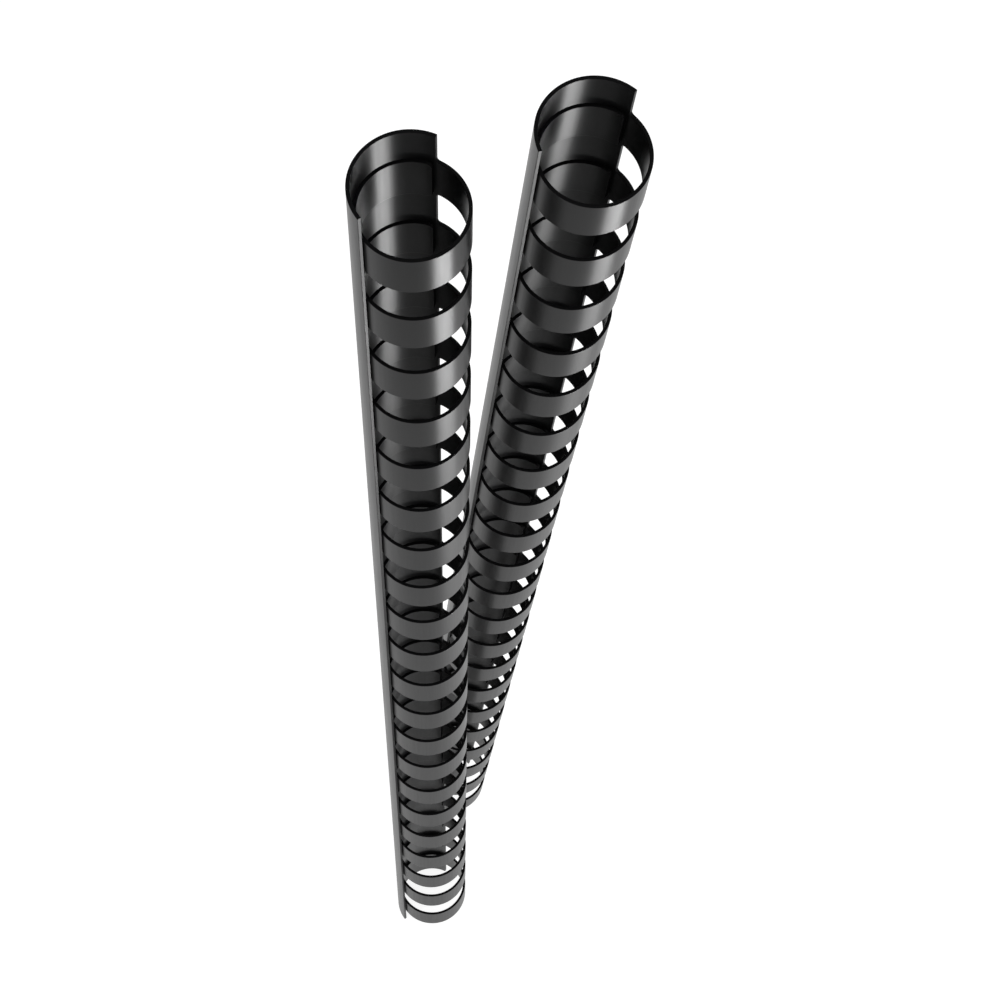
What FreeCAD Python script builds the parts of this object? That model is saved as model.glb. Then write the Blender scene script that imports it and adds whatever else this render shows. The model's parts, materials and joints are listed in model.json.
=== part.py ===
import FreeCAD, Part
import math
import os
import Sketcher

# Two plastic binding combs standing on end: one upright, one leaning, as in the photograph.
# Each comb is one strip: a half-round spine with a row of fingers that curl round into rings.
# A finger is cut at its bend lines, so that it can uncurl about them. The spine is cut lengthwise into
# three strips, none of which bends far, so that each strip's convex hull leaves the comb's hollow open.

doc = FreeCAD.newDocument("binding_combs")

# Driving dimensions, in millimetres and degrees
SIZES = [
    ("comb_diameter", 14.0, "outside of the closed comb"),
    ("wall", 0.45, "thickness of the plastic"),
    ("slip", 0.10, "room between a tucked finger and the spine"),
    ("ring_pitch", 14.2875, "from one ring to the next, 9/16 inch"),
    ("ring_count", 21, "rings on an A4 comb"),
    ("ring_width", 7.3, "width of a finger along the comb"),
    ("end_length", 5.5, "spine beyond the first and the last ring"),
    ("spine_arc", 151.5, "how far the spine wraps round, from its root edge"),
    ("tip_short", 2.0, "angle by which a finger's tip stops short of its root"),
    ("tip_corner", 0.8, "rounding of the two corners of a finger's tip"),
    ("left_turn", 65.6, "heading of the left comb's root edge"),
    ("right_turn", 50.3, "heading of the right comb's root edge"),
    ("lean", 4.555, "tilt of the right comb from upright"),
    ("lean_turn", -44.65, "the way the right comb's top leans"),
    ("apart_right", 3.23, "right comb's foot to the right of the left one's"),
    ("apart_back", 24.28, "right comb's foot behind the left one's"),
    ("middle_right", 9.99, "middle of the pair to the right of the left foot"),
    ("middle_back", 12.40, "middle of the pair behind the left foot"),
]
sheet = doc.addObject("Spreadsheet::Sheet", "Sizes")
for row, (alias, value, words) in enumerate(SIZES, start=1):
    sheet.set(f"A{row}", words)
    sheet.set(f"B{row}", str(value))
    sheet.setAlias(f"B{row}", alias)
doc.recompute()

# Formulas that the pieces share
OUTER = "Sizes.comb_diameter / 2"
STEP_IN = "(Sizes.wall + Sizes.slip)"
ROWS = "round(Sizes.ring_count)"
RUN = f"({ROWS} - 1) * Sizes.ring_pitch"
SPINE_LENGTH = f"2 * Sizes.end_length + {RUN} + Sizes.ring_width"
# The front half of a ring is a circle that steps in by one wall, so its end slides inside the spine.
FRONT_RADIUS = f"{OUTER} - {STEP_IN} / 2"
FRONT_CENTRE = f"{STEP_IN} / 2"
TUCK_RADIUS = f"{OUTER} - {STEP_IN}"
FRONT_BEND = "(180 / 3)"
TUCK_BEND = "((180 - Sizes.tip_short) / 3)"
SPINE_BEND = "(Sizes.spine_arc / 3)"

# The three strips of a spine, from root edge to free edge: name, sweep to its middle
SPINE = [
    ("spine_root", f"({SPINE_BEND} * 0.5)"),
    ("spine_back", f"({SPINE_BEND} * 1.5)"),
    ("spine_lip", f"({SPINE_BEND} * 2.5)"),
]

# The six stretches of a finger, from root to tip: name, sweep to its middle, its own sweep, radius, centre
FINGER = [
    ("ring_roots", f"({FRONT_BEND} * 0.5)", FRONT_BEND, FRONT_RADIUS, FRONT_CENTRE),
    ("ring_sides", f"({FRONT_BEND} * 1.5)", FRONT_BEND, FRONT_RADIUS, FRONT_CENTRE),
    ("ring_fronts", f"({FRONT_BEND} * 2.5)", FRONT_BEND, FRONT_RADIUS, FRONT_CENTRE),
    ("ring_tucks", f"(180 + {TUCK_BEND} * 0.5)", TUCK_BEND, TUCK_RADIUS, "0"),
    ("ring_wraps", f"(180 + {TUCK_BEND} * 1.5)", TUCK_BEND, TUCK_RADIUS, "0"),
    ("ring_tips", f"(180 + {TUCK_BEND} * 2.5)", TUCK_BEND, TUCK_RADIUS, "0"),
]


def origin_feature(body, role):
    """The body's own origin plane or axis with this role."""
    for feature in body.Origin.OriginFeatures:
        if feature.Role == role:
            return feature
    raise ValueError(f"{body.Label} has no {role}")


def curved_wall(body, name, radius, sweep):
    """A closed sketch of a wall bent to a radius, centred on the sketch's X axis."""
    sketch = body.newObject("Sketcher::SketchObject", name)
    sketch.AttachmentSupport = [(origin_feature(body, "XY_Plane"), "")]
    sketch.MapMode = "FlatFace"
    origin = FreeCAD.Vector(0, 0, 0)
    up = FreeCAD.Vector(0, 0, 1)
    outside = sheet.comb_diameter / 2
    inside = outside - sheet.wall
    half = math.radians(30)
    outer = Part.ArcOfCircle(Part.Circle(origin, up, outside), -half, half)
    inner = Part.ArcOfCircle(Part.Circle(origin, up, inside), -half, half)
    sketch.addGeometry([outer, inner], False)
    for turn in (-half, half):
        ray = FreeCAD.Vector(math.cos(turn), math.sin(turn), 0)
        sketch.addGeometry(Part.LineSegment(ray * inside, ray * outside), False)
    # Both arcs are centred on the sketch's origin, and the two end lines close them along radii.
    sketch.addConstraint(Sketcher.Constraint("Coincident", 0, 3, -1, 1))
    sketch.addConstraint(Sketcher.Constraint("Coincident", 1, 3, -1, 1))
    for line, end in ((2, 1), (3, 2)):
        sketch.addConstraint(Sketcher.Constraint("Coincident", line, 1, 1, end))
        sketch.addConstraint(Sketcher.Constraint("Coincident", line, 2, 0, end))
        sketch.addConstraint(Sketcher.Constraint("PointOnObject", -1, 1, line))
    for label, kind, geometry, value, formula in (
        ("outer_radius", "Radius", 0, outside, radius),
        ("inner_radius", "Radius", 1, inside, f"{radius} - Sizes.wall"),
        ("start_turn", "Angle", 2, -half, f"-({sweep}) / 2 * 1 deg"),
        ("end_turn", "Angle", 3, half, f"({sweep}) / 2 * 1 deg"),
    ):
        index = sketch.addConstraint(Sketcher.Constraint(kind, geometry, value))
        sketch.renameConstraint(index, label)
        sketch.setExpression(f"Constraints.{label}", formula)
    return sketch


def set_in_place(sketch, heading, centre, height):
    """Turns the sketch to its heading round the comb and moves it to its centre and height."""
    turn = FreeCAD.Rotation(FreeCAD.Vector(0, 0, 1), 1.0)
    sketch.AttachmentOffset = FreeCAD.Placement(FreeCAD.Vector(0, 0, 0), turn)
    sketch.setExpression(".AttachmentOffset.Base.x", centre)
    sketch.setExpression(".AttachmentOffset.Base.z", height)
    sketch.setExpression(".AttachmentOffset.Rotation.Angle", f"{heading} * 1 deg")


def new_body(label, placement):
    """A body that may hold a row of separate solids."""
    body = doc.addObject("PartDesign::Body", label)
    body.Label = label
    body.AllowCompound = True
    body.Placement = placement
    return body


def spine_strip(label, placement, middle):
    """One strip of the half-round back of a comb, as long as the comb."""
    body = new_body(label, placement)
    sketch = curved_wall(body, f"{label}_section", OUTER, SPINE_BEND)
    set_in_place(sketch, middle, "0", "0")
    pad = body.newObject("PartDesign::Pad", f"{label}_pad")
    pad.Profile = sketch
    pad.setExpression("Length", SPINE_LENGTH)
    body.Tip = pad
    return body


def finger_row(label, placement, middle, sweep, radius, centre):
    """One stretch of every finger of a comb, repeated at the ring pitch."""
    body = new_body(label, placement)
    sketch = curved_wall(body, f"{label}_section", radius, sweep)
    set_in_place(sketch, f"-{middle}", centre, "Sizes.end_length")
    pad = body.newObject("PartDesign::Pad", f"{label}_pad")
    pad.Profile = sketch
    pad.setExpression("Length", "Sizes.ring_width")
    body.Tip = pad
    doc.recompute()
    row = body.newObject("PartDesign::LinearPattern", f"{label}_row")
    row.Originals = [pad]
    row.Direction = (origin_feature(body, "Z_Axis"), [""])
    row.setExpression("Length", RUN)
    row.setExpression("Occurrences", ROWS)
    body.Tip = row
    return body


def round_tips(body):
    """Rounds the two corners at the free end of every finger of a row."""
    doc.recompute()
    row = body.Tip
    turn = math.radians(sheet.tip_short)
    across = FreeCAD.Vector(-math.sin(turn), math.cos(turn), 0)
    corners = []
    for number, edge in enumerate(row.Shape.Edges, start=1):
        ends = [vertex.Point for vertex in edge.Vertexes]
        on_end_face = all(abs(point.dot(across)) < 1e-6 for point in ends)
        if on_end_face and abs(ends[0].z - ends[1].z) < 1e-6:
            corners.append(f"Edge{number}")
    fillet = body.newObject("PartDesign::Fillet", f"{body.Label}_corners")
    fillet.Base = (row, corners)
    fillet.setExpression("Radius", "Sizes.tip_corner")
    body.Tip = fillet


# Where the two combs stand
middle = FreeCAD.Vector(sheet.middle_right, sheet.middle_back, 0)
upright = FreeCAD.Rotation(FreeCAD.Vector(0, 0, 1), sheet.left_turn)
left_place = FreeCAD.Placement(-middle, upright)

heading = math.radians(sheet.lean_turn)
tilt_axis = FreeCAD.Vector(-math.sin(heading), math.cos(heading), 0)
tilt = FreeCAD.Rotation(tilt_axis, sheet.lean)
leaning = tilt.multiply(FreeCAD.Rotation(FreeCAD.Vector(0, 0, 1), sheet.right_turn))
# The leaning comb stands on the lowest corner of its spine's square-cut end.
end_corners = []
for turn in (0.0, math.radians(sheet.spine_arc)):
    for radius in (sheet.comb_diameter / 2, sheet.comb_diameter / 2 - sheet.wall):
        corner = FreeCAD.Vector(radius * math.cos(turn), radius * math.sin(turn), 0)
        end_corners.append(leaning.multVec(corner).z)
right_foot = FreeCAD.Vector(sheet.apart_right, sheet.apart_back, -min(end_corners))
right_place = FreeCAD.Placement(right_foot - middle, leaning)

bodies = []
for side, placement in (("left", left_place), ("right", right_place)):
    for name, mid_sweep in SPINE:
        bodies.append((spine_strip(f"{side}_{name}", placement, mid_sweep), 1))
    for name, mid_sweep, own_sweep, radius, centre in FINGER:
        label = f"{side}_{name}"
        body = finger_row(label, placement, mid_sweep, own_sweep, radius, centre)
        bodies.append((body, round(sheet.ring_count)))
        if name == "ring_tips":
            round_tips(body)
doc.recompute()

# Nothing is written unless every object came out right
for item in doc.Objects:
    if "Invalid" in item.State or "Error" in item.State:
        raise RuntimeError(f"{item.Label} failed: {item.State}")
for body, count in bodies:
    shape = body.Shape
    if shape.isNull() or not shape.isValid():
        raise RuntimeError(f"{body.Label} has no valid shape")
    if len(shape.Solids) != count:
        raise RuntimeError(f"{body.Label} has {len(shape.Solids)} solids, not {count}")

os.makedirs("parts", exist_ok=True)
for body, count in bodies:
    body.Shape.exportStep(os.path.join("parts", body.Label + ".step"))
    print(body.Label, len(body.Shape.Solids), round(body.Shape.Volume, 1))
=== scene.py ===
import json
import math

import bpy
import numpy as np
from mathutils import Matrix, Vector


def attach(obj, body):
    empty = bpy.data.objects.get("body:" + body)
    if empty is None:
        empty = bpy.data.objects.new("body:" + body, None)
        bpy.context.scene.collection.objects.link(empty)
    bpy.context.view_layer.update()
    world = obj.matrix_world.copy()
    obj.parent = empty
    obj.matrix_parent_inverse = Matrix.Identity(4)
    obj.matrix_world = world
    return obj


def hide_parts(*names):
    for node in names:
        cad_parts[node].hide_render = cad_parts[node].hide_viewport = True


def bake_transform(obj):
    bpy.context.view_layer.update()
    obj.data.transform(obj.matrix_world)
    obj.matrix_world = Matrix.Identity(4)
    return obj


# Two plastic binding combs, one upright and one leaning, dressed and lit as in the photograph
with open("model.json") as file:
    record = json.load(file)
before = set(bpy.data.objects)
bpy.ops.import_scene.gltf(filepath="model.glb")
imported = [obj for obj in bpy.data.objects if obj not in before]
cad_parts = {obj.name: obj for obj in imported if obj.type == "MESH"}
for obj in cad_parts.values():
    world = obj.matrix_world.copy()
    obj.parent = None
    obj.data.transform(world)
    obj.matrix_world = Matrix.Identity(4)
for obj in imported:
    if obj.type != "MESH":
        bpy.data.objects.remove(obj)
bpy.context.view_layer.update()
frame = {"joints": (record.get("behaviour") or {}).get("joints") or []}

# Sizes of a comb, in metres and radians, the same as in the construction
MM = 0.001
COMB_RADIUS = 7.0 * MM
WALL = 0.45 * MM
SLIP = 0.10 * MM
STEP_IN = WALL + SLIP
TUCK_RADIUS = COMB_RADIUS - STEP_IN
RING_PITCH = 14.2875 * MM
RING_COUNT = 21
RING_WIDTH = 7.3 * MM
END_LENGTH = 5.5 * MM
COMB_LENGTH = 2 * END_LENGTH + (RING_COUNT - 1) * RING_PITCH + RING_WIDTH
RING_MIDDLES = END_LENGTH + RING_WIDTH / 2 + RING_PITCH * np.arange(RING_COUNT)
SPINE_ARC = math.radians(151.5)
TIP_SHORT = math.radians(2.0)
TIP_CORNER = 0.8 * MM

# Small forms that the construction leaves out
ROOT_FILLET = 0.5 * MM
EDGE_ROUND = 0.05 * MM
EDGE_FLAT = 0.05 * MM

# How finely the strips are divided, and the angle from which an edge is drawn sharp
ROW_STEP = math.radians(3.0)
SEAM_STEP = math.radians(0.1)
END_STEPS = 8
SHARP_ANGLE = math.radians(60)

# How dull the cut faces are, from glossy at 0 to dull at 1: a strip's sides, its ends, the spine's free edge
CUT_SIDE = 0.7
CUT_END = 1.0
FREE_EDGE = 0.18

# The stretches of a finger from root to tip, and their middles and the tip as turns from the root edge
ROWS = ["ring_roots", "ring_sides", "ring_fronts", "ring_tucks", "ring_wraps", "ring_tips"]
FRONT_SWEEP = math.pi / 3
TUCK_SWEEP = (math.pi - TIP_SHORT) / 3
HALFWAY = (0.5, 1.5, 2.5)
MIDDLES = [k * FRONT_SWEEP for k in HALFWAY] + [math.pi + k * TUCK_SWEEP for k in HALFWAY]
TIP = 2 * math.pi - TIP_SHORT

# The plastic: its two blacks, its index of refraction, and its roughness and shine on faces and dull cuts
BLACK_LOW = (0.003, 0.003, 0.0032, 1)
BLACK_HIGH = (0.005, 0.005, 0.0052, 1)
PLASTIC_IOR = 1.16
GLOSS_LOW = 0.28
GLOSS_HIGH = 0.32
CUT_ROUGHNESS = 0.65
FACE_SHINE = 0.5
CUT_SHINE = 0.0

# The drawing lines: how often they come along and across the strip, per metre, and how deep they are
LINES_PER_METRE = (2500, 60, 1)
LINE_DETAIL = 3.0
LINE_LOW = 0.3
LINE_HIGH = 0.7
LINE_STRENGTH = 0.02
LINE_DEPTH = 0.02 * MM

# The floor: its half width, its own shade, and how far it is lifted to white where it is seen
FLOOR_REACH = 4.0
FLOOR_SHADE = 0.3
FLOOR_LIFT = 0.85

# The surround's strength as light on the combs, and where it is seen
SURROUND_LIGHT = 0.5
SURROUND_SEEN = 1.0

# The lamps, in metres, watts and radians: one overhead, one low in front, and three upright ones around
OPEN_SPREAD = math.pi
OVERHEAD_PLACE = (0.0, -0.1, 1.6)
OVERHEAD_AIM = (0, 0, 0)
OVERHEAD_SIZE = (1.4, 1.4)
OVERHEAD_WATTS = 4
LOW_PLACE = (0.122, -0.093, 0.02)
LOW_AIM = (0, 0, 0.25)
LOW_SIZE = (0.095, 0.04)
LOW_WATTS = 0.35
SIDE_HEADINGS = (-150, -20, 100)
SIDE_DISTANCE = 0.3
SIDE_HEIGHT = 0.2
SIDE_SIZE = (0.07, 0.36)
SIDE_WATTS = 0.2
SIDE_SPREAD = math.radians(80)

# The photograph's camera, fitted to the edges of the rings: place, view line, sideways line and lens
CAMERA_PLACE = Vector((-4.11, -160.90, 572.84)) * MM
CAMERA_AHEAD = Vector((0.01322, 0.38394, -0.92326))
CAMERA_RIGHT = Vector((0.9999, 0.0, 0.01431))
CAMERA_SENSOR_MM = 36
CAMERA_LENS_MM = 101.73
CAMERA_NEAREST = 0.01

joint_places = {joint["name"]: joint for joint in frame["joints"]}


class Comb:
    """Where a comb stands: its axis runs up the middle, and X points from the axis to the root edge.

    The root edge and the line where the fingers tuck in are both hinge axes, opposite each other."""

    def __init__(self, side):
        hinge = joint_places[f"{side}_ring_open"]
        root = np.array(hinge["pos_m"])
        tuck = np.array(joint_places[f"{side}_tuck_bend"]["pos_m"])
        self.side = side
        up = np.array(hinge["axis"]) / np.linalg.norm(hinge["axis"])
        out = root - tuck
        out = out - up * (out @ up)
        out = out / np.linalg.norm(out)
        self.axes = np.array([out, np.cross(up, out), up])
        self.foot = root - out * COMB_RADIUS - up * COMB_LENGTH / 2

    def place(self, points):
        """Points of the comb's own frame, set where the comb stands."""
        return np.asarray(points) @ self.axes + self.foot


def bend_of(turns):
    """Centre and outer radius of the strip at each turn, anticlockwise from the root edge.

    The spine is a circle about the axis. The front half of a finger is a circle that steps in by one
    wall and one slip, so its centre is half that step nearer the root, and the tucked half is a circle
    about the axis again, inside the spine."""
    front = (turns < 0) & (turns >= -math.pi)
    tucked = turns < -math.pi
    centre = np.where(front, STEP_IN / 2, 0.0)
    radius = np.where(front, COMB_RADIUS - STEP_IN / 2, COMB_RADIUS)
    radius = np.where(tucked, TUCK_RADIUS, radius)
    return centre, radius


def inner_point(turn):
    """Point on the inner face of a finger at a turn, in the comb's own frame."""
    centre, radius = bend_of(np.array([turn]))
    reach = radius[0] - WALL
    return [centre[0] + reach * math.cos(turn), reach * math.sin(turn), 0]


def edge_profile():
    """Loop round a strip's cut: each point's depth below the outer face, its inset from the side, its side.

    Each corner is a quarter circle of two steps, with one more point on either side of it, so that the
    broad faces stay flat up to the corner."""
    quarter = np.radians([0, 45, 90])
    depth = np.concatenate([[0], EDGE_ROUND * (1 - np.cos(quarter)), [EDGE_ROUND + EDGE_FLAT]])
    inset = np.concatenate([[EDGE_ROUND + EDGE_FLAT], EDGE_ROUND * (1 - np.sin(quarter)), [0]])
    corners = [
        (depth, inset, 1),
        (WALL - depth[::-1], inset[::-1], 1),
        (WALL - depth, inset, -1),
        (depth[::-1], inset[::-1], -1),
    ]
    depths = np.concatenate([corner[0] for corner in corners])
    insets = np.concatenate([corner[1] for corner in corners])
    sides = np.concatenate([np.full(len(corner[0]), corner[2]) for corner in corners])
    return depths, insets, sides


DEPTHS, INSETS, SIDES = edge_profile()
LOOP = len(DEPTHS)


def bent_strip(turns, half_width, trim, middles):
    """The edge profile carried round the bend: one ring of points for each turn, repeated up the comb.

    A point lies at radius less depth from the bend's centre, at its turn, and at the half width less its
    inset above or below the middle of its strip. Trim draws the whole loop in, to round off an end."""
    centre, radius = bend_of(turns)
    centred = np.abs(DEPTHS - WALL / 2) / (WALL / 2)
    inward = np.sign(WALL / 2 - DEPTHS) * np.minimum(1, centred * 2)
    reach = radius[:, None] - DEPTHS - trim[:, None] * inward
    height = SIDES * (half_width[:, None] - trim[:, None] - INSETS)
    x = centre[:, None] + reach * np.cos(turns)[:, None]
    y = reach * np.sin(turns)[:, None]
    grid = np.stack([x, y, height], axis=-1)
    copies = np.repeat(grid[None], len(middles), axis=0)
    copies[..., 2] += np.asarray(middles)[:, None, None]
    return copies


def strip_faces(copies, rows):
    """Four-sided faces between neighbouring rings of points, and a flat face on each end of every strip."""
    first = (np.arange(copies) * rows * LOOP)[:, None, None]
    ring = (np.arange(rows - 1) * LOOP)[None, :, None]
    step = np.arange(LOOP)[None, None, :]
    after = (step + 1) % LOOP
    corner = first + ring
    sides = np.stack([corner + step, corner + LOOP + step, corner + LOOP + after, corner + after], axis=-1)
    start = first[:, 0] + np.arange(LOOP)[None]
    end = first[:, 0] + (rows - 1) * LOOP + np.arange(LOOP)[None, ::-1]
    return sides.reshape(-1, 4), np.concatenate([start, end])


def row_turns(low, high):
    """Turns from low to high in even steps, with one short step at each end to keep the seams smooth."""
    steps = max(2, round((high - low) / ROW_STEP))
    even = np.linspace(low, high, steps + 1)
    return np.concatenate([[low, low + SEAM_STEP], even[1:-1], [high - SEAM_STEP, high]])


def rounded_end(reach, radius):
    """Turns within a reach of a strip's end, closer together towards the end."""
    quarter = np.linspace(0, math.pi / 2, END_STEPS + 1)
    return reach * (1 - np.cos(quarter)) / radius


def root_flare(turns):
    """Half width near a finger's root: a quarter circle widens it into the spine's edge."""
    away = np.clip(-turns * COMB_RADIUS, 0, ROOT_FILLET)
    return RING_WIDTH / 2 + ROOT_FILLET - np.sqrt(ROOT_FILLET**2 - (ROOT_FILLET - away) ** 2)


def tip_taper(turns):
    """Half width near a finger's tip: a quarter circle rounds each corner."""
    away = np.clip((turns + TIP) * TUCK_RADIUS, 0, TIP_CORNER)
    return RING_WIDTH / 2 - TIP_CORNER + np.sqrt(TIP_CORNER**2 - (TIP_CORNER - away) ** 2)


def end_trim(distance):
    """How far the strip's cut is drawn in near a rounded end: a quarter circle of the distance from it."""
    near = np.clip(distance, 0, EDGE_ROUND)
    return EDGE_ROUND - np.sqrt(EDGE_ROUND**2 - (EDGE_ROUND - near) ** 2)


def new_parts():
    """Empty lists for a piece's points, lengths along the strip, faces, end faces and their dullness."""
    return {"points": [], "along": [], "sides": [], "ends": [], "side_dullness": [], "end_dullness": []}


def add_strip(parts, turns, half_width, trim, middles, end_dullness=CUT_END):
    """Adds a row of bent strips to a piece's lists.

    A face is a cut side where both its points lie within the rounding of the edge, and a cut end where
    the strip is drawn in."""
    grid = bent_strip(turns, half_width, trim, middles)
    copies, rows = grid.shape[:2]
    sides, ends = strip_faces(copies, rows)
    start = sum(len(points) for points in parts["points"])
    along = np.broadcast_to((turns * COMB_RADIUS)[None, :, None], grid.shape[:3])
    beside = np.maximum(INSETS, np.roll(INSETS, -1)) <= EDGE_ROUND
    beyond = (trim[:-1] > 0) | (trim[1:] > 0)
    dullness = np.maximum(CUT_SIDE * beside, end_dullness * beyond[:, None])
    parts["points"].append(grid.reshape(-1, 3))
    parts["along"].append(along.reshape(-1))
    parts["sides"].append(sides + start)
    parts["ends"].append(ends + start)
    parts["side_dullness"].append(np.tile(dullness.reshape(-1), copies))
    parts["end_dullness"].append(np.full(len(ends), end_dullness))


def make_piece(name, comb, parts, plastic):
    """A mesh of bent strips, smooth but for its square ends, set where the comb stands.

    Its map holds the lengths along and up the strip, and its attribute how dull each face is."""
    points = np.concatenate(parts["points"])
    along = np.concatenate(parts["along"])
    sides = np.concatenate(parts["sides"])
    ends = np.concatenate(parts["ends"])
    dullness = np.concatenate(parts["side_dullness"] + parts["end_dullness"])
    mesh = bpy.data.meshes.new(name)
    mesh.from_pydata(comb.place(points), [], sides.tolist() + ends.tolist())
    corners = np.concatenate([sides.reshape(-1), ends.reshape(-1)])
    lengths = np.stack([along[corners], points[corners, 2]], axis=-1)
    layer = mesh.uv_layers.new(name="strip")
    layer.uv.foreach_set("vector", lengths.astype(np.float32).ravel())
    edge = mesh.attributes.new("cut_edge", "FLOAT", "FACE")
    edge.data.foreach_set("value", dullness.astype(np.float32))
    mesh.set_sharp_from_angle(angle=SHARP_ANGLE)
    mesh.update()
    mesh.materials.append(plastic)
    piece = bpy.data.objects.new(name, mesh)
    bpy.context.scene.collection.objects.link(piece)
    return piece


def spine_piece(comb, plastic):
    """The half-round back from edge to edge, and the roots of all its fingers up to their first middle."""
    parts = new_parts()
    free_end = SPINE_ARC - rounded_end(EDGE_ROUND, COMB_RADIUS)[::-1]
    turns = np.concatenate([row_turns(0, free_end[0])[:-1], free_end])
    trim = end_trim((SPINE_ARC - turns) * COMB_RADIUS)
    half = np.full(len(turns), COMB_LENGTH / 2)
    add_strip(parts, turns, half, trim, [COMB_LENGTH / 2], end_dullness=FREE_EDGE)
    flare = -rounded_end(ROOT_FILLET, COMB_RADIUS)[::-1]
    turns = np.concatenate([row_turns(-MIDDLES[0], flare[0])[:-1], flare])
    add_strip(parts, turns, root_flare(turns), np.zeros(len(turns)), RING_MIDDLES)
    piece = make_piece(f"{comb.side}_spine_and_roots", comb, parts, plastic)
    # A point on the axis and one on the inner face at the first middle are worked out here but not used; the
    # spine itself stays still.
    inner = COMB_RADIUS - STEP_IN / 2 - WALL
    start = comb.place([0, 0, 0])
    end = comb.place([0, -inner * math.sin(MIDDLES[0]), 0])
    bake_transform(piece)
    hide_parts(*[f"{comb.side}_{strip}" for strip in ("spine_root", "spine_back", "spine_lip")])


def finger_piece(comb, number, plastic):
    """One bend of every finger, from the middle of one stretch to the middle of the next."""
    parts = new_parts()
    turns = row_turns(-MIDDLES[number + 1], -MIDDLES[number])
    half = np.full(len(turns), RING_WIDTH / 2)
    add_strip(parts, turns, half, np.zeros(len(turns)), RING_MIDDLES)
    before = f"{comb.side}_{ROWS[number]}"
    piece = make_piece(f"{before}_bend", comb, parts, plastic)
    start = comb.place(inner_point(-MIDDLES[number]))
    end = comb.place(inner_point(-MIDDLES[number + 1]))
    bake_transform(piece)
    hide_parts(before)


def tip_piece(comb, plastic):
    """The rounded tips of all the fingers, beyond their last bend."""
    parts = new_parts()
    tip_end = -TIP + rounded_end(TIP_CORNER, TUCK_RADIUS)
    turns = np.concatenate([tip_end, row_turns(tip_end[-1], -MIDDLES[-1])[1:]])
    trim = end_trim((turns + TIP) * TUCK_RADIUS)
    add_strip(parts, turns, tip_taper(turns), trim, RING_MIDDLES)
    piece = make_piece(f"{comb.side}_ring_tip_ends", comb, parts, plastic)
    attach(piece, f"{comb.side}_ring_tips")
    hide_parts(f"{comb.side}_ring_tips")


def new_material(name):
    """An empty node material, with its node tree and output."""
    material = bpy.data.materials.new(name)
    material.use_nodes = True
    tree = material.node_tree
    tree.nodes.clear()
    output = tree.nodes.new("ShaderNodeOutputMaterial")
    return material, tree, output


def add_node(tree, kind, sockets=None, **settings):
    """A shader node with its settings, and its input sockets set by name."""
    node = tree.nodes.new(kind)
    for key, value in settings.items():
        setattr(node, key, value)
    for socket, value in (sockets or {}).items():
        node.inputs[socket].default_value = value
    return node


def glossy_black_plastic():
    """Black sheet plastic: glossy faces with faint drawing lines, and duller cut edges.

    A noise stretched along the drawing lines varies the black, the roughness and a fine bump. The face
    attribute for cut edges then raises the roughness and lowers the shine."""
    material, tree, output = new_material("glossy_black_plastic")
    shader = add_node(tree, "ShaderNodeBsdfPrincipled", {"IOR": PLASTIC_IOR})
    lengths = add_node(tree, "ShaderNodeUVMap", uv_map="strip")
    stretch = add_node(tree, "ShaderNodeMapping", {"Scale": LINES_PER_METRE})
    lines = add_node(tree, "ShaderNodeTexNoise", {"Scale": 1.0, "Detail": LINE_DETAIL})
    black = add_node(tree, "ShaderNodeMix", {"A": BLACK_LOW, "B": BLACK_HIGH}, data_type="RGBA")
    line_range = {"From Min": LINE_LOW, "From Max": LINE_HIGH}
    gloss = add_node(tree, "ShaderNodeMapRange", {**line_range, "To Min": GLOSS_LOW, "To Max": GLOSS_HIGH})
    cut = add_node(tree, "ShaderNodeAttribute", attribute_name="cut_edge")
    rough = add_node(tree, "ShaderNodeMix", {"B": CUT_ROUGHNESS}, data_type="FLOAT")
    shine = add_node(tree, "ShaderNodeMapRange", {"To Min": FACE_SHINE, "To Max": CUT_SHINE})
    bump = add_node(tree, "ShaderNodeBump", {"Strength": LINE_STRENGTH, "Distance": LINE_DEPTH})
    link = tree.links.new
    link(lengths.outputs["UV"], stretch.inputs["Vector"])
    link(stretch.outputs["Vector"], lines.inputs["Vector"])
    link(lines.outputs["Fac"], black.inputs["Factor"])
    link(black.outputs["Result"], shader.inputs["Base Color"])
    link(lines.outputs["Fac"], gloss.inputs["Value"])
    link(gloss.outputs["Result"], rough.inputs["A"])
    link(cut.outputs["Fac"], rough.inputs["Factor"])
    link(rough.outputs["Result"], shader.inputs["Roughness"])
    link(cut.outputs["Fac"], shine.inputs["Value"])
    link(shine.outputs["Result"], shader.inputs["Specular IOR Level"])
    link(lines.outputs["Fac"], bump.inputs["Height"])
    link(bump.outputs["Normal"], shader.inputs["Normal"])
    link(shader.outputs["BSDF"], output.inputs["Surface"])
    return material


def seen_directly(tree):
    """1 for what the camera sees, straight or by reflection or through glass, and 0 for other light."""
    path = add_node(tree, "ShaderNodeLightPath")
    either = add_node(tree, "ShaderNodeMath", operation="MAXIMUM")
    any_of = add_node(tree, "ShaderNodeMath", operation="MAXIMUM")
    tree.links.new(path.outputs["Is Camera Ray"], either.inputs[0])
    tree.links.new(path.outputs["Is Glossy Ray"], either.inputs[1])
    tree.links.new(either.outputs[0], any_of.inputs[0])
    tree.links.new(path.outputs["Is Transmission Ray"], any_of.inputs[1])
    return any_of.outputs[0]


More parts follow.
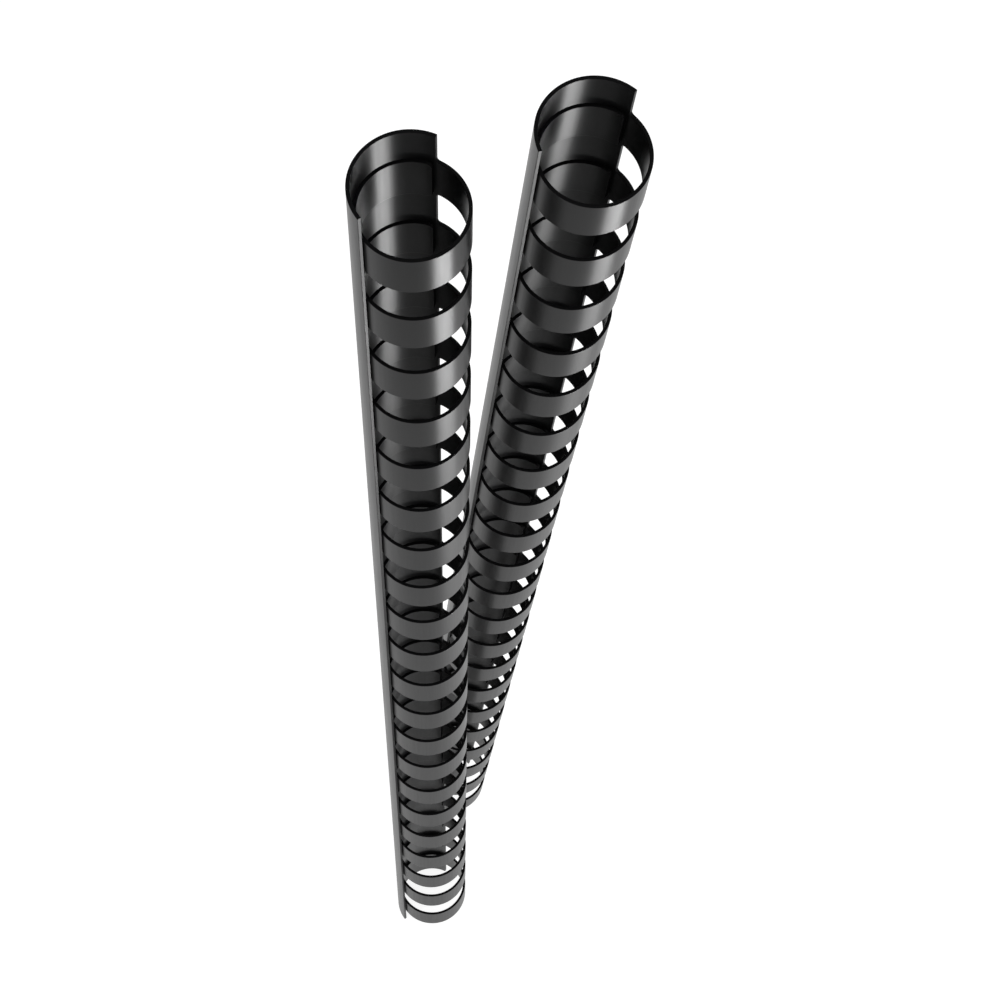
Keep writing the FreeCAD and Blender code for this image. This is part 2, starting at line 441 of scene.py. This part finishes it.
def white_floor_finish():
    """Grey paper that is lifted to full white where it is seen, and still takes the combs' shadow."""
    material, tree, output = new_material("white_floor")
    paper = add_node(tree, "ShaderNodeBsdfDiffuse", {"Color": (FLOOR_SHADE, FLOOR_SHADE, FLOOR_SHADE, 1)})
    share = add_node(tree, "ShaderNodeMath", {1: FLOOR_LIFT}, operation="MULTIPLY")
    lift = add_node(tree, "ShaderNodeEmission")
    both = add_node(tree, "ShaderNodeAddShader")
    tree.links.new(seen_directly(tree), share.inputs[0])
    tree.links.new(share.outputs[0], lift.inputs["Strength"])
    tree.links.new(paper.outputs[0], both.inputs[0])
    tree.links.new(lift.outputs[0], both.inputs[1])
    tree.links.new(both.outputs[0], output.inputs["Surface"])
    return material


def add_floor():
    """A flat floor under the combs."""
    reach = FLOOR_REACH
    corners = [(-reach, -reach, 0), (reach, -reach, 0), (reach, reach, 0), (-reach, reach, 0)]
    mesh = bpy.data.meshes.new("floor")
    mesh.from_pydata(corners, [], [(0, 1, 2, 3)])
    mesh.materials.append(white_floor_finish())
    floor = bpy.data.objects.new("floor", mesh)
    bpy.context.scene.collection.objects.link(floor)


def set_world():
    """An even surround: white where it is seen, and half as strong as light on the combs."""
    world = bpy.data.worlds.new("pale_surround")
    world.use_nodes = True
    tree = world.node_tree
    tree.nodes.clear()
    output = tree.nodes.new("ShaderNodeOutputWorld")
    surround = add_node(tree, "ShaderNodeBackground", {"Color": (1, 1, 1, 1)})
    strength = add_node(tree, "ShaderNodeMapRange", {"To Min": SURROUND_LIGHT, "To Max": SURROUND_SEEN})
    tree.links.new(seen_directly(tree), strength.inputs["Value"])
    tree.links.new(strength.outputs["Result"], surround.inputs["Strength"])
    tree.links.new(surround.outputs[0], output.inputs["Surface"])
    bpy.context.scene.world = world


def add_softbox(name, place, aim, size, watts, spread=OPEN_SPREAD):
    """A soft rectangular lamp that faces its aim and isn't seen itself; a grid can narrow its spread."""
    lamp = bpy.data.lights.new(name, "AREA")
    lamp.shape = "RECTANGLE"
    lamp.size = size[0]
    lamp.size_y = size[1]
    lamp.energy = watts
    lamp.spread = spread
    softbox = bpy.data.objects.new(name, lamp)
    softbox.location = place
    softbox.rotation_mode = "QUATERNION"
    softbox.rotation_quaternion = (Vector(aim) - Vector(place)).to_track_quat("-Z", "Y")
    softbox.visible_camera = False
    bpy.context.scene.collection.objects.link(softbox)
    return lamp


def add_lamps():
    """A broad lamp overhead, a low one in front that reaches the combs' insides, and three around them."""
    add_softbox("overhead_softbox", OVERHEAD_PLACE, OVERHEAD_AIM, OVERHEAD_SIZE, OVERHEAD_WATTS)
    low = add_softbox("front_right_softbox", LOW_PLACE, LOW_AIM, LOW_SIZE, LOW_WATTS)
    # Its light goes past the front fingers: it casts no shadow, and no ray has to find it between them.
    low.use_shadow = False
    low.cycles.use_multiple_importance_sampling = False
    for heading in SIDE_HEADINGS:
        turn = math.radians(heading)
        place = (SIDE_DISTANCE * math.cos(turn), SIDE_DISTANCE * math.sin(turn), SIDE_HEIGHT)
        name = f"side_softbox_{heading % 360}"
        add_softbox(name, place, (0, 0, SIDE_HEIGHT), SIDE_SIZE, SIDE_WATTS, SIDE_SPREAD)


def add_camera():
    """The photograph's view, from high in front, with a long lens."""
    ahead = CAMERA_AHEAD.normalized()
    right = CAMERA_RIGHT.normalized()
    up = right.cross(ahead).normalized()
    data = bpy.data.cameras.new("photo_camera")
    data.sensor_width = CAMERA_SENSOR_MM
    data.lens = CAMERA_LENS_MM
    data.clip_start = CAMERA_NEAREST
    camera = bpy.data.objects.new("photo_camera", data)
    turn = Matrix((right, up, -ahead)).transposed()
    camera.matrix_world = Matrix.Translation(CAMERA_PLACE) @ turn.to_4x4()
    bpy.context.scene.collection.objects.link(camera)
    bpy.context.scene.camera = camera


plastic = glossy_black_plastic()
for side in ("left", "right"):
    comb = Comb(side)
    spine_piece(comb, plastic)
    for number in range(len(ROWS) - 1):
        finger_piece(comb, number, plastic)
    tip_piece(comb, plastic)

add_floor()
set_world()
add_lamps()
add_camera()
bpy.context.scene.view_settings.view_transform = "Standard"
